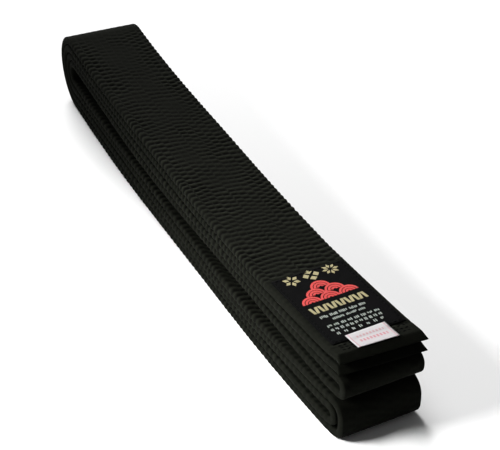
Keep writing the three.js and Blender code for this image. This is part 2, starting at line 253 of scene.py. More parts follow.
# The studio: a camera with its target, two angles in degrees, distance, and lens and sensor in millimetres
CAMERA_TARGET = (15.09 * MM, 12.84 * MM, 10.56 * MM)
CAMERA_AZIMUTH, CAMERA_ELEVATION = 64.1, 35.18
CAMERA_DISTANCE = 862.67 * MM
LENS, SENSOR = 123.65, 36
NEAREST, FURTHEST = 0.01, 20
FLOOR_HALF = 6.0
FLOOR_GAP = 0.05 * MM
SKY_STRENGTH = 0.12
# Each soft round lamp: its place, aim, size, power in watts and spread in degrees
LAMPS = (
    ("key", (-2.6, 0.1, 1.9), (0, 0, 0), 2.0, 80, 180),
    ("side", (0.02, -0.42, 0.3), (0.15, 0, 0), 0.2, 0.55, 60),
    ("top", (-1.5, 0.1, 1.4), (0, 0, 0), 0.9, 17, 180),
)

# Values that follow
HINGES = {joint["name"]: Vector(joint["pos_m"]) for joint in frame["joints"]}
HALF_LENGTH = PACK_LENGTH / 2
HALF_WIDTH = CLOTH_WIDTH / 2
HALF_THICKNESS = BELT_THICKNESS / 2
PITCH = BELT_THICKNESS + LAYER_GAP
BEND_LENGTH = HINGES["label_end_lift"].x - HINGES["plain_end_lift"].x
FAR_X = HINGES["plain_end_lift"].x - BEND_LENGTH / 2
LOBE_RADIUS = (3 * PITCH + LOBE_OPENING) / 2
LOBE_X = HALF_LENGTH - LOBE_RADIUS - HALF_THICKNESS
BUMP_RADIUS = (PITCH + BUMP_OPENING) / 2
BUMP_X = HALF_LENGTH - BUMP_RADIUS - HALF_THICKNESS


# ---- The folded centreline ----

def splay(x, knot, opening):
    """How far layers that part towards the near end have opened, where the knot has the whole opening."""
    return opening * np.maximum(x - SPLAY_X, 0) / (knot - SPLAY_X)


def layer_height(layer, x):
    """The height of a layer's mid-plane. Layer 1 is the label end on top, layer 8 lies on the table."""
    z = HALF_THICKNESS + (8 - layer) * PITCH + 0 * x
    if layer <= 6:
        z += splay(x, LOBE_X, LOBE_OPENING)
    if layer <= 4:
        z += np.interp(x, (FAR_X, MIDDLE_X, SPLAY_X, HALF_LENGTH), CENTRE_OPENINGS)
    if layer <= 3:
        z += splay(x, BUMP_X, BUMP_OPENING)
    if layer <= 2:
        z += splay(x, HALF_LENGTH, PLAIN_TIP_OPENING)
    if layer <= 1:
        z += splay(x, HALF_LENGTH, LABEL_TIP_OPENING)
    return z


def run_of(layer, start, end):
    """The centreline of one straight layer."""
    xs = np.linspace(start, end, int(PACK_LENGTH / PATH_STEP))
    return np.column_stack([xs, layer_height(layer, xs)])


def turn_of(x, before, after, side, squareness=ROUND_FOLD):
    """The centreline of a fold from one layer to another."""
    start, end = (float(layer_height(layer, x)) for layer in (before, after))
    angle = np.linspace(0, math.pi, FOLD_STEPS + 1)[1:-1]
    radius = (start - end) / 2
    out, up = np.sin(angle), np.cos(angle)
    power = 2 / np.where(up * radius < 0, *squareness)
    return np.column_stack([
        x + side * abs(radius) * out**power,
        (start + end) / 2 + radius * np.sign(up) * np.abs(up) ** power,
    ])


# Runs and folds in turn, from the label tip to the plain tip
ROUTE = (
    ("label_tip", run_of(1, HALF_LENGTH, FAR_X)),
    ("far_1", turn_of(FAR_X, 1, 8, -1)),
    ("far_8", run_of(8, FAR_X, LOBE_X)),
    ("near_8", turn_of(LOBE_X, 8, 5, 1, LOBE_SQUARENESS)),
    ("near_5", run_of(5, LOBE_X, FAR_X)),
    ("far_5", turn_of(FAR_X, 5, 4, -1)),
    ("far_4", run_of(4, FAR_X, BUMP_X)),
    ("near_4", turn_of(BUMP_X, 4, 3, 1, BUMP_SQUARENESS)),
    ("near_3", run_of(3, BUMP_X, FAR_X)),
    ("far_3", turn_of(FAR_X, 3, 6, -1)),
    ("far_6", run_of(6, FAR_X, LOBE_X)),
    ("near_6", turn_of(LOBE_X, 6, 7, 1)),
    ("near_7", run_of(7, LOBE_X, FAR_X)),
    ("far_7", turn_of(FAR_X, 7, 2, -1)),
    ("far_2", run_of(2, FAR_X, HALF_LENGTH)),
)


def lay_out(route):
    """The centreline's points, their distances along it and where each part starts."""
    points = np.vstack([part for _, part in route])
    steps = np.hypot(*np.diff(points, axis=0).T)
    distance = np.concatenate([[0], np.cumsum(steps)])
    marks, first = {}, 0
    for number, (name, part) in enumerate(route):
        is_fold = number % 2  # a fold starts at the last point of the run before it
        marks[name] = distance[first - is_fold]
        first += len(part)
    marks["plain_tip"] = distance[-1]
    return points, distance, marks


PATH, PATH_DISTANCE, MARKS = lay_out(ROUTE)
BELT_LENGTH = MARKS["plain_tip"]
LABEL_RUN = MARKS["far_1"]
for mark, lift in (("bend_1", 1), ("lift_1", 2)):
    MARKS[mark] = MARKS["far_1"] - lift * BEND_LENGTH
MARKS["lift_2"] = MARKS["far_2"] + BEND_LENGTH
MARKS["core_start"] = CORE_INSET
MARKS["core_end"] = BELT_LENGTH - CORE_INSET


def centre(along):
    """Points of the centreline and its upward normals, for distances along the belt."""
    x, z = (np.interp(along, PATH_DISTANCE, PATH[:, axis]) for axis in (0, 1))
    reach = 1.5 * PATH_STEP
    ahead, behind = along + reach, along - reach
    dx, dz = (
        np.interp(ahead, PATH_DISTANCE, PATH[:, axis]) - np.interp(behind, PATH_DISTANCE, PATH[:, axis])
        for axis in (0, 1)
    )
    length = np.hypot(dx, dz)
    return x, z, dz / length, -dx / length


def bowed(x, across, z):
    """Bends a point of the straight pack to follow its sideways bow."""
    turn = 2 * SIDEWAYS_BOW * x / HALF_LENGTH**2
    return np.stack([x - across * turn, across + SIDEWAYS_BOW * ((x / HALF_LENGTH) ** 2 - 0.5), z], axis=-1)


def smooth_step(low, high, value):
    """From 0 at low to 1 at high, level at both. High may lie below low."""
    t = np.clip((value - low) / (high - low), 0, 1)
    return t * t * (3 - 2 * t)


def from_tip(along):
    """The distance from the nearer tip."""
    return np.minimum(along, BELT_LENGTH - along)


def wander(along):
    """How far the layers lie to one side of each other."""
    free = np.clip((from_tip(along) - TRUE_LENGTH) / TRUE_FADE, 0, 1)
    wave = sum(share * np.sin(along * TURN / length + start) for length, share, start in WANDER_WAVES)
    return WANDER * free * wave


def laid(along, across, above):
    """The place of a point given in the strip's flat coordinates."""
    x, z, nx, nz = centre(along)
    near = smooth_step(HALF_LENGTH - NEAR_END_RUN, HALF_LENGTH, x)
    free = smooth_step(FREE_END_LENGTH, FREE_END_LENGTH - NEAR_END_RUN, from_tip(along))
    reach = (1 - free) * (NEAR_FOLD_REACH + NEAR_FOLD_SKEW * across) + free * FREE_END_SKEW * across
    side = across + wander(along) + NEAR_END_SHIFT * near
    return bowed(x + nx * above + near * reach, side, z + nz * above)


def along_at(x):
    """The distance from the label tip to a place on layer 1."""
    on_layer_1 = PATH_DISTANCE <= LABEL_RUN
    return np.interp(-x, -PATH[on_layer_1, 0], PATH_DISTANCE[on_layer_1])


# ---- The quilted surface ----

CHANCE = np.random.default_rng(PUCKER_SEED)
ROW_STARTS = CHANCE.uniform(0, TURN, (ROW_BANDS, 1 + len(ROW_SWAYS)))
PATCH_STARTS = CHANCE.uniform(0, TURN, (2 * len(PATCH_WAVES),))


def stitches_along(along):
    """How many stitches there are from the label tip. They are longest at the far folds."""
    swing = STITCH_PITCH_SWING / STITCH_PITCH * LABEL_RUN / math.pi
    return (along + swing * np.sin(math.pi * along / LABEL_RUN)) / STITCH_PITCH


def row_shift(along, row):
    """How far the ribs of a row run ahead of the even count, in ribs."""
    shift = ROW_STARTS[row, 0] / TURN
    for k, (length, height) in enumerate(ROW_SWAYS):
        shift = shift + height * np.sin(along * TURN / length + ROW_STARTS[row, k + 1])
    return shift


def rib_phase(along, across):
    """The count of ribs. Each row between two lines of stitches has its own, and they meet at the line."""
    place = across / ROW_SPACING + ROW_BANDS / 2 - 0.5
    row = np.clip(np.floor(place).astype(int), 0, ROW_BANDS - 2)
    share = smooth_step(*ROW_MEETING, place - row)
    shift = (1 - share) * row_shift(along, row) + share * row_shift(along, row + 1)
    slant = RIB_SLANT * across * (1 - 0.5 * np.abs(across) / HALF_WIDTH)
    return stitches_along(along) + slant / STITCH_PITCH + shift


def liveliness(along, across):
    """Where the ribs stand high and where the cloth lies calm."""
    x = centre(along)[0]
    out = np.abs(across) / HALF_WIDTH
    edge = smooth_step(*LIVELY_EDGE_BAND, out)
    patches = sum(
        np.sin(along * TURN / length + across * tilt + PATCH_STARTS[2 * k] + PATCH_STARTS[2 * k + 1])
        for k, (length, tilt) in enumerate(PATCH_WAVES)
    )
    faded = TOP_CALM * (1 - edge) * smooth_step(*TOP_FADE, x) * (along < LABEL_RUN)
    lively = LIVELY_MIDDLE + LIVELY_EDGE * edge + LIVELY_PATCH * patches - faded
    far_fold = FAR_FOLD_CALM * smooth_step(*(FAR_X + place for place in FAR_FOLD_FADE), x)
    near_fold = NEAR_FOLD_CALM * smooth_step(*(LOBE_X + place for place in NEAR_FOLD_FADE), x)
    side = SIDE_CALM * smooth_step(*SIDE_FADE, x) * smooth_step(*SIDE_BAND, out)
    return np.clip(lively, *LIVELY_RANGE) * (1 - far_fold) * (1 - near_fold) * (1 - side)


def pressed(along):
    """The label, its seam and the seams at the tips hold the cloth flat."""
    start, end = along_at(LABEL_NEAR + LABEL_FADE), along_at(LABEL_FAR - LABEL_FADE)
    under_label = smooth_step(start, start + LABEL_FADE, along) * smooth_step(end + LABEL_FADE, end, along)
    at_tip = smooth_step(*TIP_FADE, from_tip(along))
    return 1 - np.maximum(LABEL_CALM * under_label, TIP_CALM * at_tip)


def relief(along, across, flatness):
    """How far the quilted cloth stands out from the plain section, and how much of a crest each place is,
    which the cloth's colour uses to paint shade into the valleys and light onto the crests.
    """
    place = across / ROW_SPACING
    between = LINE_SHARE + (1 - LINE_SHARE) * np.abs(np.cos(math.pi * place)) ** RIB_ROUNDING
    inside = smooth_step(OUTER_ROW + ROW_SPACING, OUTER_ROW, np.abs(across))
    spread = between * inside + MARGIN_SHARE * (1 - inside)
    strength = spread * liveliness(along, across) * pressed(along)
    rib = 0.5 + 0.5 * np.cos(2 * math.pi * rib_phase(along, across))
    distance = (0.5 - np.abs(place - np.round(place))) * ROW_SPACING
    in_row = np.exp(-((distance / ROW_GROOVE) ** 2)) * (np.abs(across) < OUTER_ROW + ROW_GROOVE)
    height = RIB_HEIGHT * (rib**RIB_ROUNDING - RIB_BASE) * strength - ROW_DEPTH * in_row
    return height * flatness, CREST_REST + (rib - CREST_REST) * strength


def section(face_points):
    """Points around the belt: across, above, the way out across and above, and the relief's share there."""
    face = np.linspace(-OUTER_ROW, OUTER_ROW, 9 * face_points + 1)
    outer = np.linspace(OUTER_ROW, FACE_HALF, face_points // 3 * 2 + 1)[1:]
    face = np.concatenate([-outer[::-1], face, outer])
    crown = HALF_THICKNESS * (1 + FACE_CROWN * (1 - (face / FACE_HALF) ** 2))
    top = np.column_stack([face, crown, 0 * face, 1 + 0 * face, 1 + 0 * face])
    angle = np.radians(np.linspace(90, -90, EDGE_STEPS + 2)[1:-1])
    edge = np.column_stack([
        FACE_HALF + EDGE_ROUND * np.cos(angle), HALF_THICKNESS * np.sin(angle),
        np.cos(angle), np.sin(angle), EDGE_SHARE + (1 - EDGE_SHARE) * np.abs(np.sin(angle)),
    ])
    bottom = top[::-1] * (1, -1, 1, -1, 1)
    far_edge = edge[::-1] * (-1, 1, -1, 1, 1)
    return np.vstack([top, edge, bottom, far_edge])[::-1]


FINE_SECTION = section(FINE_FACE)
COARSE_SECTION = section(COARSE_FACE)


def tip_shape(along, across, above):
    """Presses both faces together towards a tip, which ends in a rounded edge."""
    tip = from_tip(along)
    down = np.where(along < BELT_LENGTH / 2, -1, 1)
    wedge = np.clip(1 - tip / TIP_WEDGE, 0, 1)
    rounding = np.sqrt(np.clip(1 - (1 - np.clip(tip / TIP_EDGE, 0, 1)) ** 2, TIP_LEAST, 1))
    thinned = above * (1 - wedge * (1 - TIP_EDGE / BELT_THICKNESS)) * rounding
    return across * (1 + TIP_SPREAD * wedge), thinned + down * TIP_DROOP * wedge


def belt_surface(along, outline):
    """The grid of points at distances along the belt, with their flat places, stitch counts and crests."""
    a = along[:, None]
    across, above, out_across, out_above, flatness = outline.T[:, None, :]
    lift, crest = relief(a, across, flatness)
    y, h = tip_shape(a, across + out_across * lift, above + out_above * lift)
    a = a + 0 * h
    return laid(a, y, h), np.stack([y, a, h], axis=-1), stitches_along(a), crest + 0 * a


# ---- Meshes ----

def mesh_of(name, points, faces):
    mesh = bpy.data.meshes.new(name)
    mesh.from_pydata([tuple(p) for p in points], [], [tuple(f) for f in faces])
    mesh.update()
    piece = bpy.data.objects.new(name, mesh)
    bpy.context.scene.collection.objects.link(piece)
    for face in mesh.polygons:
        face.use_smooth = True
    return piece


def note(piece, name, kind, values):
    """Keeps a value for each point, which the finishes read."""
    attribute = piece.data.attributes.new(name, kind, "POINT")
    field = "vector" if kind == "FLOAT_VECTOR" else "value"
    attribute.data.foreach_set(field, np.asarray(values, np.float32).ravel())


def tube_faces(rows, ring):
    """The faces of a closed tube and its two end faces."""
    r, k = np.meshgrid(np.arange(rows - 1), np.arange(ring), indexing="ij")
    here, beside = r * ring + k, r * ring + (k + 1) % ring
    sides = np.stack([here, here + ring, beside + ring, beside], axis=-1).reshape(-1, 4)
    first = list(range(ring))
    last = list(range((rows - 1) * ring, rows * ring))[::-1]
    return [*sides.tolist(), first, last]


def grid_normals(grid):
    """Outward normals of a ring-shaped grid, from the points either side."""
    along = np.gradient(grid, axis=0)
    around = np.roll(grid, -1, axis=1) - np.roll(grid, 1, axis=1)
    normal = np.cross(along, around)
    return normal / np.maximum(np.linalg.norm(normal, axis=-1, keepdims=True), 1e-12)


def steps_between(start, end, step):
    """Evenly spaced places, about a step apart."""
    return np.linspace(start, end, max(3, round((end - start) / step) + 1))


def belt_piece(name, start, end, outline, step):
    """A stretch of the belt. Its normals take in the surface beyond both ends, so the joins don't show."""
    start_at, end_at = MARKS[start], MARKS[end]
    along = steps_between(start_at, end_at, step)
    if start == "label_tip":
        along = np.concatenate([TIP_RINGS, along[1:]])
    if end == "plain_tip":
        along = np.concatenate([along[:-1], end_at - np.flip(TIP_RINGS)])
    beyond = np.concatenate([[along[0] - step], along, [along[-1] + step]])
    surface = belt_surface(beyond, outline)
    normals = grid_normals(surface[0])[1:-1]
    grid, flat, count, crest = (values[1:-1] for values in surface)
    ring = len(outline)
    piece = mesh_of(name, grid.reshape(-1, 3), tube_faces(len(along), ring))
    piece.data.normals_split_custom_set_from_vertices(normals.reshape(-1, 3).tolist())
    note(piece, "flat_place", "FLOAT_VECTOR", flat)
    note(piece, "stitch_count", "FLOAT", count)
    # The crest share, from which the cloth's colour paints shade into the valleys and light onto the crests
    note(piece, "crest", "FLOAT", crest)
    return piece


def core_piece(name, start, end, side):
    """A stretch of one canvas ply inside the cover."""
    along = steps_between(MARKS[start], MARKS[end], CORE_STEP)
    low, high = CORE_SPACING * side, CORE_TOP * side
    ring = np.array([(-CORE_HALF, low), (CORE_HALF, low), (CORE_HALF, high), (-CORE_HALF, high)])
    a = along[:, None] + np.zeros(len(ring))
    grid = laid(a, ring[:, 0] + 0 * a, ring[:, 1] + 0 * a)
    faces = tube_faces(len(along), len(ring))
    if side < 0:
        faces = [face[::-1] for face in faces]
    piece = mesh_of(name, grid.reshape(-1, 3), faces)
    note(piece, "flat_place", "FLOAT_VECTOR", np.stack([ring[:, 0] + 0 * a, a, ring[:, 1] + 0 * a], axis=-1))
    return piece


# ---- Finishes ----

class Value:
    """A socket of a finish. Arithmetic on it adds Math nodes."""

    def __init__(self, finish, socket):
        self.finish, self.socket = finish, socket

    def math(self, operation, *others):
        return self.finish.add("ShaderNodeMath", {"operation": operation}, (self, *others))

    def __add__(self, other):
        return self.math("ADD", other)

    def __sub__(self, other):
        return self.math("SUBTRACT", other)

    def __mul__(self, other):
        return self.math("MULTIPLY", other)

    def __truediv__(self, other):
        return self.math("DIVIDE", other)

    def __pow__(self, other):
        return self.math("POWER", other)

    def __rsub__(self, other):
        return self.finish.add("ShaderNodeMath", {"operation": "SUBTRACT"}, (other, self))

    __radd__ = __add__
    __rmul__ = __mul__

    def wave(self, pitch):
        """From 0 to 1 and back once in each pitch."""
        return (self * (TURN / pitch)).math("SINE") * 0.5 + 0.5

    def near(self, place, reach):
        """1 at a place and 0 beyond its reach."""
        return (1 - (self - place).math("ABSOLUTE") / reach).math("MAXIMUM", 0)

    def every(self, spacing):
        """The distance to the nearest of a row of places that far apart."""
        return self.math("PINGPONG", spacing / 2)


class Finish:
    """A material. Its nodes are all made by add, from a type, settings and the sockets' values or links."""

    def __init__(self, name):
        self.material = bpy.data.materials.new(name)
        self.material.use_nodes = True
        self.tree = self.material.node_tree
        self.shader = self.tree.nodes["Principled BSDF"]

    def add(self, kind, settings=None, inputs=(), output=0):
        node = self.tree.nodes.new(kind)
        for key, value in (settings or {}).items():
            setattr(node, key, value)
        named = inputs.items() if isinstance(inputs, dict) else enumerate(inputs)
        for key, value in named:
            self.feed(node.inputs[key], value)
        return Value(self, node.outputs[output])

    def feed(self, socket, value):
        if isinstance(value, Value):
            self.tree.links.new(value.socket, socket)
        else:
            socket.default_value = value

    def set(self, **sockets):
        for name, value in sockets.items():
            self.feed(self.shader.inputs[name.replace("_", " ")], value)

    def parts(self, vector):
        """The three parts of a vector."""
        first = self.add("ShaderNodeSeparateXYZ", {}, (vector,))
        return [Value(self, socket) for socket in first.socket.node.outputs]

    def place(self):
        """The flat coordinates of the cloth: a vector, and its parts across, along and above."""
        vector = self.add("ShaderNodeAttribute", {"attribute_name": "flat_place"}, (), "Vector")
        return vector, self.parts(vector)

    def count(self, attribute):
        return self.add("ShaderNodeAttribute", {"attribute_name": attribute}, (), "Fac")

    def noise(self, vector, scale, detail=2.0):
        return self.add("ShaderNodeTexNoise", {}, {"Vector": vector, "Scale": scale, "Detail": detail})

    def mix(self, factor, *shades):
        """Mixes two shades. The colour sockets of a Mix node come after its other kinds."""
        first, second = (shade if isinstance(shade, Value) else (*shade, 1) for shade in shades)
        return self.add("ShaderNodeMix", {"data_type": "RGBA"}, {0: factor, 6: first, 7: second}, 2)

    def bump(self, height, depth, strength=1.0):
        """Depth in metres."""
        inputs = {"Height": height, "Distance": depth, "Strength": strength}
        self.set(Normal=self.add("ShaderNodeBump", {}, inputs))
        return self.material


def black_cotton():
    """Matt black cotton in a fine weave, with rows of black quilting thread sunk into its two faces, and
    painted shade in the valleys between its ribs with painted light on their crests.
    """
    finish = Finish("black_cotton")
    place, (across, along, above) = finish.place()
    count, crest = finish.count("stitch_count"), finish.count("crest")
    warp, weft = across.wave(0.56 * MM), along.wave(0.62 * MM)
    twill = (across + along).wave(0.9 * MM)
    fuzz = finish.noise(place, 2600, 3)
    cloud = finish.noise(place, 55, 3)
    streak = finish.noise(place, 420, 2)
    row = (across + ROW_SPACING / 2).every(ROW_SPACING)
    on_face = above.math("ABSOLUTE").math("GREATER_THAN", QUILTING_LEVEL)
    thread = row.near(0, QUILTING_WIDTH / 2) * on_face
    dash = (count.math("FRACT") - 0.5).math("ABSOLUTE").math("LESS_THAN", QUILTING_DASH / 2)
    stitch = (thread * dash * 1.6).math("MINIMUM", 1)
    strands = (along + across * 1.6).wave(0.42 * MM)
    # Painted shade and light: the crest share takes the colour from near black in the valleys between the
    # ribs, where shade falls, to a lighter tone on the crests.
    painted_valley_shade = finish.mix(cloud, (0.0007, 0.0008, 0.0005), (0.0014, 0.0015, 0.0010))
    painted_crest_light = finish.mix(cloud, (0.0150, 0.0164, 0.0117), (0.0250, 0.0267, 0.0200))
    cloth = finish.mix(crest**1.4, painted_valley_shade, painted_crest_light)
    # Streaks of wear on the crests, laid over the cloth's painted shade and light.
    worn_and_shaded = finish.mix(streak.near(0.62, 0.16) * 0.35 * crest, cloth, (0.012, 0.013, 0.010))
    lint = finish.noise(place, 1500, 1).math("GREATER_THAN", 0.79) * 0.25
    finish.set(Base_Color=finish.mix(lint, worn_and_shaded, (0.030, 0.030, 0.028)))
    finish.set(Roughness=0.95 - 0.10 * stitch - 0.05 * twill)
    finish.set(Specular_IOR_Level=0.06)
    weave = warp * weft * 0.45 + twill * 0.25 + fuzz * 0.7
    return finish.bump(weave * (1 - stitch) + stitch * (0.9 + 0.3 * strands), 0.09 * MM)


def core_canvas():
    """Unbleached canvas."""
    finish = Finish("core_canvas")
    place = finish.add("ShaderNodeTexCoord", {}, (), "Object")
    x, y, _ = finish.parts(place)
    warp, weft = x.wave(0.9 * MM), y.wave(0.9 * MM)
    slub = finish.noise(place, 900, 3)
    finish.set(Base_Color=finish.mix(slub, (0.50, 0.45, 0.35), (0.72, 0.67, 0.56)), Roughness=0.92)
    return finish.bump(warp * weft + slub * 0.5, 0.15 * MM)


def black_thread():
    """Twisted black sewing thread."""
    finish = Finish("black_thread")
    place, (around, along, _) = finish.place()
    twist = (along + around * 0.8).wave(0.34 * MM)
    fuzz = finish.noise(place, 3000, 2)
    finish.set(Base_Color=finish.mix(fuzz, (0.0012, 0.0012, 0.0014), (0.0034, 0.0034, 0.0038)))
    finish.set(Roughness=0.7 + 0.15 * fuzz, Specular_IOR_Level=0.08)
    return finish.bump(twist + fuzz * 0.3, 0.06 * MM)


def label_ground():
    """The label's ground: a fine black satin weave."""
    finish = Finish("label_weave")
    place, (across, along, _) = finish.place()
    ends, picks = across.wave(0.22 * MM), along.wave(0.3 * MM)
    satin = (across + along * 2.6).wave(0.8 * MM)
    shade = finish.noise(place, 240, 3)
    finish.set(Base_Color=finish.mix(shade, (0.0020, 0.0020, 0.0021), (0.0048, 0.0048, 0.0050)))
    finish.set(Roughness=0.75 + 0.18 * satin, Specular_IOR_Level=0.05)
    return finish.bump(ends * picks * 0.8 + satin * 0.4 + shade * 0.3, 0.05 * MM)


def woven_thread(name, dark, light):
    """Coloured threads that float over the label's ground and make its marks."""
    finish = Finish(name)
    place, (across, along, _) = finish.place()
    floats, picks = along.wave(0.28 * MM), across.wave(0.7 * MM)
    shade = finish.noise(place, 1400, 2)
    finish.set(Base_Color=finish.mix(floats * 0.6 + shade * 0.5, dark, light))
    finish.set(Roughness=0.5 + 0.2 * shade, Sheen_Weight=0.2, Sheen_Roughness=0.4)
    return finish.bump(floats + picks * 0.4 + shade * 0.3, 0.06 * MM)


def sticker_paper():
    """White paper with a faint red print: a frame and two lines of short strokes."""
    finish = Finish("sticker_paper")
    place, (across, along, _) = finish.place()
    u = across - STICKER_SHIFT
    v = along - float(along_at((STICKER_FAR + STICKER_NEAR) / 2))
    half_length = (STICKER_NEAR - STICKER_FAR) / 2
    frame_line = u.math("ABSOLUTE").near(STICKER_HALF_WIDTH - 1.1 * MM, 0.35 * MM)
    strokes = (u.wave(1.6 * MM).math("GREATER_THAN", 0.35)) * u.math("ABSOLUTE").math("LESS_THAN", 7 * MM)
    upper = v.near(-0.24 * half_length, 1.1 * MM).math("GREATER_THAN", 0.2)
    lower = v.near(0.36 * half_length, 0.8 * MM).math("GREATER_THAN", 0.2)
    print_mask = (frame_line + strokes * (upper + lower * 0.7)).math("MINIMUM", 1)
    fibre = finish.noise(place, 1800, 3)
    paper = finish.mix(fibre, (0.31, 0.297, 0.302), (0.385, 0.368, 0.375))
    finish.set(Base_Color=finish.mix(print_mask * 0.7, paper, (0.36, 0.10, 0.125)))
    finish.set(Roughness=0.55 + 0.2 * fibre)
    return finish.bump(fibre, 0.02 * MM)


COTTON = black_cotton()
CANVAS = core_canvas()
THREAD = black_thread()
LABEL_GROUND = label_ground()
GOLD_THREAD = woven_thread("gold_thread", (0.13, 0.11, 0.045), (0.42, 0.37, 0.19))
RED_THREAD = woven_thread("red_thread", (0.25, 0.009, 0.008), (0.62, 0.030, 0.022))
WHITE_THREAD = woven_thread("white_thread", (0.13, 0.145, 0.13), (0.42, 0.46, 0.42))
PAPER = sticker_paper()


def finished(piece, material):
    """Gives a piece its only finish."""
    piece.data.materials.clear()
    piece.data.materials.append(material)
    return piece


# ---- The belt's pieces ----

# Each stretch of the cover: its node, where it starts and ends, and the body that it rides on
RIGID_STRETCHES = (
    ("cover_label_end", "label_tip", "lift_1", "label_end"),
    ("cover_layer_8", "far_8", "near_8", "lower_layers"),
    ("cover_near_fold_outer", "near_8", "near_5", "lower_layers"),
    ("cover_layer_5", "near_5", "far_5", "lower_layers"),
    ("cover_layer_4", "far_4", "near_4", "middle_layers"),
    ("cover_near_fold_middle", "near_4", "near_3", "middle_layers"),
    ("cover_layer_3", "near_3", "far_3", "middle_layers"),
    ("cover_layer_6", "far_6", "near_6", "lower_layers"),
    ("cover_near_fold_inner", "near_6", "near_7", "lower_layers"),
    ("cover_layer_7", "near_7", "far_7", "lower_layers"),
    ("cover_plain_end", "lift_2", "plain_tip", "plain_end"),
)
# Each stretch of the core that doesn't bend: the part of its name, where it starts and ends, and its body
RIGID_CORES = (
    ("label_end", "core_start", "lift_1", "label_end"),
    ("lower_outer", "far_8", "far_5", "lower_layers"),
    ("middle", "far_4", "far_3", "middle_layers"),
    ("lower_inner", "far_6", "far_7", "lower_layers"),
    ("plain_end", "lift_2", "core_end", "plain_end"),
)
# Each far fold: the part of its name, and where it starts and ends
FAR_FOLDS = (
    ("1_8", "far_1", "far_8"),
    ("4_5", "far_5", "far_4"),
    ("3_6", "far_3", "far_6"),
    ("2_7", "far_7", "far_2"),
)
# Each stretch where the belt would bend when a belt end is lifted, here baked where it lies: its name's part,
# its start and end, the body it stays on, the body that is lifted, and how many bend lengths it lies from the
# far fold
LIFT_BENDS = (
    ("plain_bend", "far_2", "lift_2", "middle_layers", "plain_end", 0),
    ("label_bend_a", "bend_1", "far_1", "middle_layers", "plain_end", 0),
    ("label_bend_b", "lift_1", "bend_1", "plain_end", "label_end", 1),
)
FINE_STRETCHES = {"cover_label_end", "cover_label_bend_a", "cover_label_bend_b"}


def cover(name, start, end):
    fine = name in FINE_STRETCHES
    outline, step = (FINE_SECTION, FINE_STEP) if fine else (COARSE_SECTION, COARSE_STEP)
    piece = belt_piece(f"{name}_cloth", start, end, outline, step)
    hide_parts(name)
    return finished(piece, COTTON)


def plies(part, start, end):
    """Two canvas plies that follow the cover round them."""
    for ply, side in (("ply_a", -1), ("ply_b", 1)):
        piece = core_piece(f"core_{part}_{ply}_canvas", start, end, side)
        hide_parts(f"core_{part}_{ply}")
        yield finished(piece, CANVAS)


def make_belt():
    for name, start, end, body in RIGID_STRETCHES:
        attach(cover(name, start, end), body)
    for part, start, end, body in RIGID_CORES:
        for piece in plies(part, start, end):
            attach(piece, body)
    for part, start, end in FAR_FOLDS:
        low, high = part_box(f"cover_far_fold_{part}")
        name = f"far_fold_{part}"
        for piece in (cover(f"cover_{name}", start, end), *plies(name, start, end)):
            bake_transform(piece)
    for part, start, end, still, lifted, bend in LIFT_BENDS:
        low, high = (bowed(FAR_X + (bend + k) * BEND_LENGTH, 0.0, HINGES["plain_end_lift"].z) for k in (0, 1))
        for piece in (cover(f"cover_{part}", start, end), *plies(part, start, end)):
            tuple(low)
            tuple(high)
            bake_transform(piece)


# ---- The label, the sticker and the seams ----

def on_label_end(x, across, above):
    """A place over the label end's top face, given by its X, the distance across and the height."""
    x, across, above = np.broadcast_arrays(np.asarray(x, float), across, above)
    return laid(along_at(x), across, HALF_THICKNESS + above)


def slab(name, xs, ys, lower, upper, place):
    """A closed sheet over a grid of X and distances across, between two heights."""
    x, y = np.meshgrid(xs, ys, indexing="ij")
    sides = [np.stack([x, y, height(x, y)], axis=-1).reshape(-1, 3) for height in (upper, lower)]
    rows, columns = x.shape
    index = np.arange(rows * columns).reshape(rows, columns)
    quads = np.stack([index[:-1, :-1], index[1:, :-1], index[1:, 1:], index[:-1, 1:]], axis=-1).reshape(-1, 4)
    rim = [*index[0, :-1], *index[:-1, -1], *index[-1, :0:-1], *index[:0:-1, 0]]
    count = rows * columns
    faces = [*quads.tolist(), *(quads[:, ::-1] + count).tolist()]
    for a, b in zip(rim, rim[1:] + rim[:1]):
        faces.append([a, b, b + count, a + count])
    flat = np.vstack(sides)
    piece = mesh_of(name, place(*flat.T), faces)
    note(piece, "flat_place", "FLOAT_VECTOR", np.column_stack([flat[:, 1], along_at(flat[:, 0]), flat[:, 2]]))
    return piece


def label_top(x, y):
    """The label's upper face: drawn down by its seam, with a soft swell between the stitches."""
    to_side = LABEL_HALF_WIDTH - np.abs(y - LABEL_SHIFT)
    to_end = np.minimum(x - LABEL_FAR, LABEL_NEAR - x)
    to_edge = np.minimum(to_side, to_end)
    seam = LABEL_SEAM_DEPTH * np.exp(-(((to_edge - LABEL_SEAM_INSET) / LABEL_SEAM_REACH) ** 2))
    hem = LABEL_HEM_SHARE + (1 - LABEL_HEM_SHARE) * smooth_step(0, LABEL_HEM, to_edge)
    swell = LABEL_SWELL * np.sin(x / LABEL_SWELL_WAVES[0]) * np.sin(y / LABEL_SWELL_WAVES[1] + 1)
    inner = smooth_step(*LABEL_SWELL_FADE, to_edge)
    return LABEL_LIFT + LABEL_THICKNESS * hem - seam + swell * inner


def woven_label():
    xs = steps_between(LABEL_FAR, LABEL_NEAR, LABEL_STEP)
    ys = LABEL_SHIFT + steps_between(-LABEL_HALF_WIDTH, LABEL_HALF_WIDTH, LABEL_STEP)
    piece = slab("woven_label_ground", xs, ys, lambda x, y: LABEL_LIFT + 0 * x, label_top, on_label_end)
    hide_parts("woven_label")
    finished(piece, LABEL_GROUND)
    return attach(piece, "label_end")


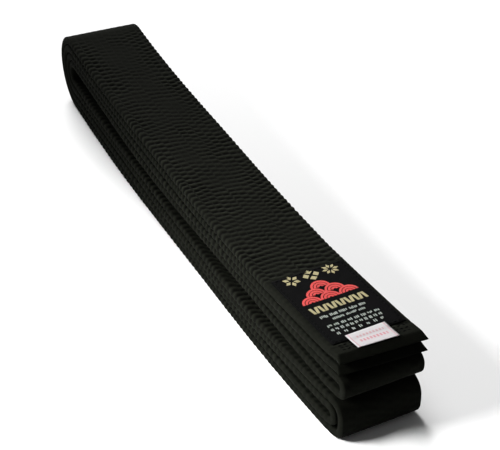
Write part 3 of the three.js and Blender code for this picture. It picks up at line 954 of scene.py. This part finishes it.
def mark_piece(name, outlines, material):
    """Flat woven marks: each outline becomes a low raised patch on the label."""
    points, faces, flats = [], [], []
    for outline in outlines:
        outline = np.asarray(outline, float)
        if polygon_area(outline) < 0:
            outline = outline[::-1]
        first, size = len(points), len(outline)
        x, y = outline.T
        base = label_top(x, y)
        for height in (base - MARK_DEPTH, base + MARK_HEIGHT):
            points.extend(on_label_end(x, y, height))
            flats.extend(np.column_stack([y, along_at(x), height]))
        faces.append([first + size + k for k in range(size)])
        faces.append([first + k for k in reversed(range(size))])
        faces.extend(
            [first + k, first + (k + 1) % size, first + size + (k + 1) % size, first + size + k]
            for k in range(size)
        )
    piece = mesh_of(name, points, faces)
    for face in piece.data.polygons:
        face.use_smooth = False
    note(piece, "flat_place", "FLOAT_VECTOR", flats)
    finished(piece, material)
    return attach(piece, "label_end")


def polygon_area(outline):
    """Positive when the outline runs round its middle from X to Y."""
    x, y = outline.T
    return 0.5 * float(np.sum(x * np.roll(y, -1) - np.roll(x, -1) * y))


def block(x, y, length, width, lean=0.0):
    """A small leaning block, centred at x and y."""
    a, b = length / 2, width / 2
    return [(x - a, y - b - lean), (x + a, y - b + lean), (x + a, y + b + lean), (x - a, y + b - lean)]


def arch(x, y, inner, outer):
    """Half of a band between two circles. Its top points to the far folds, as the label's does."""
    angles = np.linspace(-math.pi / 2, math.pi / 2, ARCH_STEPS + 1)
    ring = lambda radius, turns: [(x - radius * math.cos(t), y + radius * math.sin(t)) for t in turns]
    return ring(outer, angles) + ring(inner, angles[::-1])


def rosette(x, y, radius, petals):
    """A flower of pointed petals round a middle."""
    middle = np.array([x, y])
    half = PETAL_WIDTH * radius * math.tan(math.pi / petals)
    shapes = []
    for k in range(petals):
        t = TURN * k / petals
        way = np.array([math.cos(t), math.sin(t)])
        side = np.array([-math.sin(t), math.cos(t)])
        shapes.append([
            middle + way * PETAL_FOOT * radius,
            middle + way * PETAL_WAIST * radius - side * half,
            middle + way * radius,
            middle + way * PETAL_WAIST * radius + side * half,
        ])
    return shapes


def wave_crest():
    """Rows of nested arches, one behind the other."""
    shapes = []
    for row, arches in enumerate(CREST_ROWS):
        for k in range(arches):
            y = CREST_Y + (k - (arches - 1) / 2) * CREST_PITCH
            for outer in CREST_RINGS:
                shapes.append(arch(CREST_X - row * CREST_STEP, y, outer - CREST_BAND, outer))
    return shapes


def braid():
    """A row of leaning blocks."""
    middle = (BRAID_COUNT - 1) / 2
    return [
        block(BRAID_X, (k - middle) * BRAID_PITCH, BRAID_HEIGHT, BRAID_WIDTH, BRAID_LEAN * (-1) ** k)
        for k in range(BRAID_COUNT)
    ]


def stroke_rows():
    """Rows of short thin strokes of uneven height, in groups."""
    chance = np.random.default_rng(STROKE_SEED)
    shapes = []
    for x, first, last, height, group, gap in STROKE_ROWS:
        y, left = first, group
        while y < last:
            tall = height * chance.uniform(STROKE_SHORTEST, 1)
            place = x + (height - tall) * chance.uniform(-0.5, 0.5)
            shapes.append(block(place * MM, y * MM, tall * MM, STROKE_WIDTH))
            left -= 1
            y += chance.uniform(*STROKE_PITCHES) + (gap if left == 0 else 0)
            left = left or group
    return shapes


def label_marks():
    """Generic marks: gold flowers, a red wave crest, a gold braid and five rows of short white strokes."""
    flowers = [shape for y, petals in FLOWERS for shape in rosette(FLOWER_X, y, FLOWER_RADIUS, petals)]
    mark_piece("label_gold_marks", flowers + braid(), GOLD_THREAD)
    mark_piece("label_red_crest", wave_crest(), RED_THREAD)
    mark_piece("label_white_strokes", stroke_rows(), WHITE_THREAD)


def sticker_height(x, y):
    """The height of the sticker's underside."""
    over_label = smooth_step(*(LABEL_NEAR + place for place in STICKER_FALL), x)
    return STICKER_LOW + STICKER_RISE * over_label + 0 * y


def size_sticker():
    xs = steps_between(STICKER_FAR, STICKER_NEAR, STICKER_STEPS[0])
    ys = STICKER_SHIFT + steps_between(-STICKER_HALF_WIDTH, STICKER_HALF_WIDTH, STICKER_STEPS[1])
    upper = lambda x, y: sticker_height(x, y) + STICKER_THICKNESS
    piece = slab("size_sticker_paper", xs, ys, sticker_height, upper, on_label_end)
    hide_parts("size_sticker")
    finished(piece, PAPER)
    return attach(piece, "label_end")


def stitches(name, runs, pitch, place, node, body):
    """Rows of stitches. Each run is a straight seam, given by its two ends in the place's own coordinates."""
    points, faces, flats = [], [], []
    for start, end in np.array(runs):
        total = math.hypot(*(end - start))
        number = max(1, round(total / pitch))
        way = (end - start) / total
        side = np.array([-way[1], way[0]])
        for k in range(number):
            tube = tube_faces(THREAD_STEPS + 1, THREAD_SIDES)
            faces.extend([len(points) + corner for corner in face] for face in tube)
            for share in np.linspace(0, 1, THREAD_STEPS + 1):
                reach = k + (1 - STITCH_SHARE) / 2 + STITCH_SHARE * share
                middle = start + way * total * reach / number
                bulge = math.sin(math.pi * share)
                radius = THREAD_RADIUS * (THREAD_END + (1 - THREAD_END) * bulge**0.5)
                for t in np.arange(THREAD_SIDES) * TURN / THREAD_SIDES:
                    height = THREAD_RADIUS * (STITCH_RISE * bulge - STITCH_DIP) + radius * math.sin(t)
                    points.append(place(*(middle + side * radius * math.cos(t)), height))
                    flats.append((radius * t, total * (k + share) / number, height))
    piece = mesh_of(name, points, faces)
    turn_outward(piece)
    note(piece, "flat_place", "FLOAT_VECTOR", flats)
    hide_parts(node)
    finished(piece, THREAD)
    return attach(piece, body)


def turn_outward(piece):
    """Turns every face of the piece outward."""
    work = bmesh.new()
    work.from_mesh(piece.data)
    bmesh.ops.recalc_face_normals(work, faces=work.faces)
    work.to_mesh(piece.data)
    work.free()


def label_seam():
    """The seam round the label, just inside its edge."""
    x0, x1 = LABEL_FAR + LABEL_SEAM_INSET, LABEL_NEAR - LABEL_SEAM_INSET
    y0, y1 = (LABEL_SHIFT + sign * (LABEL_HALF_WIDTH - LABEL_SEAM_INSET) for sign in (-1, 1))
    corners = [(x0, y0), (x1, y0), (x1, y1), (x0, y1)]
    place = lambda x, y, height: on_label_end(x, y, label_top(x, y) + height + LABEL_SEAM_DEPTH)
    runs = list(zip(corners, corners[1:] + corners[:1]))
    stitches("label_stitching_thread", runs, LABEL_STITCH, place, "label_stitching", "label_end")


def tip_seams():
    """The seams across both belt ends."""
    runs = [
        ((x, -TIP_SEAM_HALF), (x, TIP_SEAM_HALF))
        for x in (HALF_LENGTH - TIP_SEAM_FIRST - row * TIP_SEAM_PITCH for row in range(TIP_SEAM_ROWS))
    ]
    on_plain_end = lambda x, y, height: laid(BELT_LENGTH - along_at(x), y, -(HALF_THICKNESS + height))
    stitches("label_end_stitching_thread", runs, TIP_STITCH, on_label_end, "label_end_stitching", "label_end")
    stitches("plain_end_stitching_thread", runs, TIP_STITCH, on_plain_end, "plain_end_stitching", "plain_end")


# ---- The studio ----

def aimed(piece, place, way):
    """Puts a camera or a lamp at a place, looking one way."""
    piece.location = place
    piece.rotation_mode = "QUATERNION"
    piece.rotation_quaternion = way.to_track_quat("-Z", "Y")
    bpy.context.scene.collection.objects.link(piece)


def camera():
    """A long lens, from above the near end and a little to one side."""
    azimuth, elevation = math.radians(CAMERA_AZIMUTH), math.radians(CAMERA_ELEVATION)
    level = math.cos(elevation)
    back = Vector((math.sin(azimuth) * level, -math.cos(azimuth) * level, math.sin(elevation)))
    data = bpy.data.cameras.new("camera")
    data.lens, data.sensor_width = LENS, SENSOR
    data.clip_start, data.clip_end = NEAREST, FURTHEST
    view = bpy.data.objects.new("camera", data)
    aimed(view, Vector(CAMERA_TARGET) + back * CAMERA_DISTANCE, -back)
    bpy.context.scene.camera = view


def floor():
    """A plain pale sheet under the belt."""
    half, level = FLOOR_HALF, CAD_BOX[0].z - FLOOR_GAP
    points = [(-half, -half, level), (half, -half, level), (half, half, level), (-half, half, level)]
    sheet = mesh_of("studio_floor", points, [(0, 1, 2, 3)])
    finish = Finish("pale_floor")
    place = finish.add("ShaderNodeTexCoord", {}, (), "Object")
    shade = finish.noise(place, 3, 2)
    finish.set(Base_Color=finish.mix(shade, (0.93, 0.93, 0.93), (0.95, 0.95, 0.95)), Roughness=0.9)
    sheet.data.materials.append(finish.material)


def lights():
    """A pale sky and round soft lamps."""
    scene = bpy.context.scene
    scene.world = bpy.data.worlds.new("studio")
    scene.world.use_nodes = True
    sky = scene.world.node_tree.nodes["Background"].inputs
    sky["Color"].default_value = (1, 1, 1, 1)
    sky["Strength"].default_value = SKY_STRENGTH
    for name, place, aim, size, power, spread in LAMPS:
        data = bpy.data.lights.new(name, "AREA")
        data.shape, data.size, data.energy, data.spread = "DISK", size, power, math.radians(spread)
        aimed(bpy.data.objects.new(name, data), place, Vector(aim) - Vector(place))
    scene.view_settings.view_transform = "Standard"
    scene.view_settings.look = "Medium High Contrast"


camera()
make_belt()
woven_label()
label_marks()
label_seam()
tip_seams()
size_sticker()
floor()
lights()
